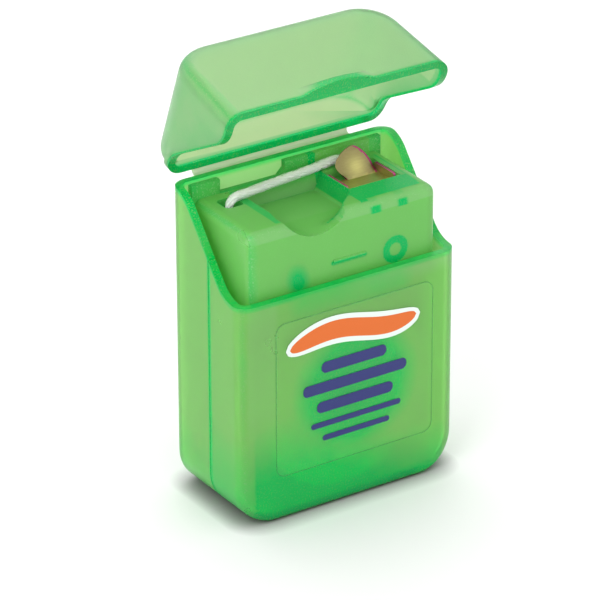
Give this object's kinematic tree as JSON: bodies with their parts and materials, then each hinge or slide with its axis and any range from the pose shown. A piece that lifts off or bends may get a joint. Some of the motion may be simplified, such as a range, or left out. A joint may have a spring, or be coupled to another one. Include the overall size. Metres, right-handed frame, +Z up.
{
  "type": "dental floss dispenser",
  "caption": "Flip-lid floss dispenser: translucent case with a living-hinge lid, raised neck with finger scoop, metal cutter, and a spool of floss on a post inside.",
  "frame": {"origin": "centre of the case's flat bottom", "axes": "+Z up, +Y to the back where the hinge is, +X to the right seen from the front"},
  "size_m": [0.038, 0.0269, 0.0688],
  "materials": {
    "case_plastic": "translucent polypropylene, softly frosted",
    "lid_plastic": "translucent polypropylene, softly frosted",
    "hinge_plastic": "thin film, pale where it bends",
    "frame_plastic": "translucent polypropylene, moulded satin",
    "cutter_metal": "stamped sheet, satin with tinted cut edges",
    "spool_plastic": "natural polypropylene, matt",
    "yarn": "soft bulked nylon yarn",
    "label_film": "clear film with a plain printed band"
  },
  "bodies": {
    "case": {"rear_shell": "case_plastic", "front_shell": "case_plastic", "inner_frame": "frame_plastic", "cutter": "cutter_metal", "floss_strand": "yarn", "label_film": "label_film", "hinge_film": "hinge_plastic"},
    "lid": {"lid": "lid_plastic"},
    "spool": {"spool_core": "spool_plastic", "floss_winding": "yarn"}
  },
  "joints": [
    {"name": "lid_hinge", "type": "hinge", "parent": "case", "child": "lid", "pos_m": [0, 0.01015, 0.049], "axis": [-1, 0, 0], "range_deg": [-77, 103], "deforming": ["hinge_film"]},
    {"name": "spool_spin", "type": "hinge", "parent": "case", "child": "spool", "pos_m": [0, -0.00055, 0.0167], "axis": [0, 1, 0], "continuous": true}
  ]
}
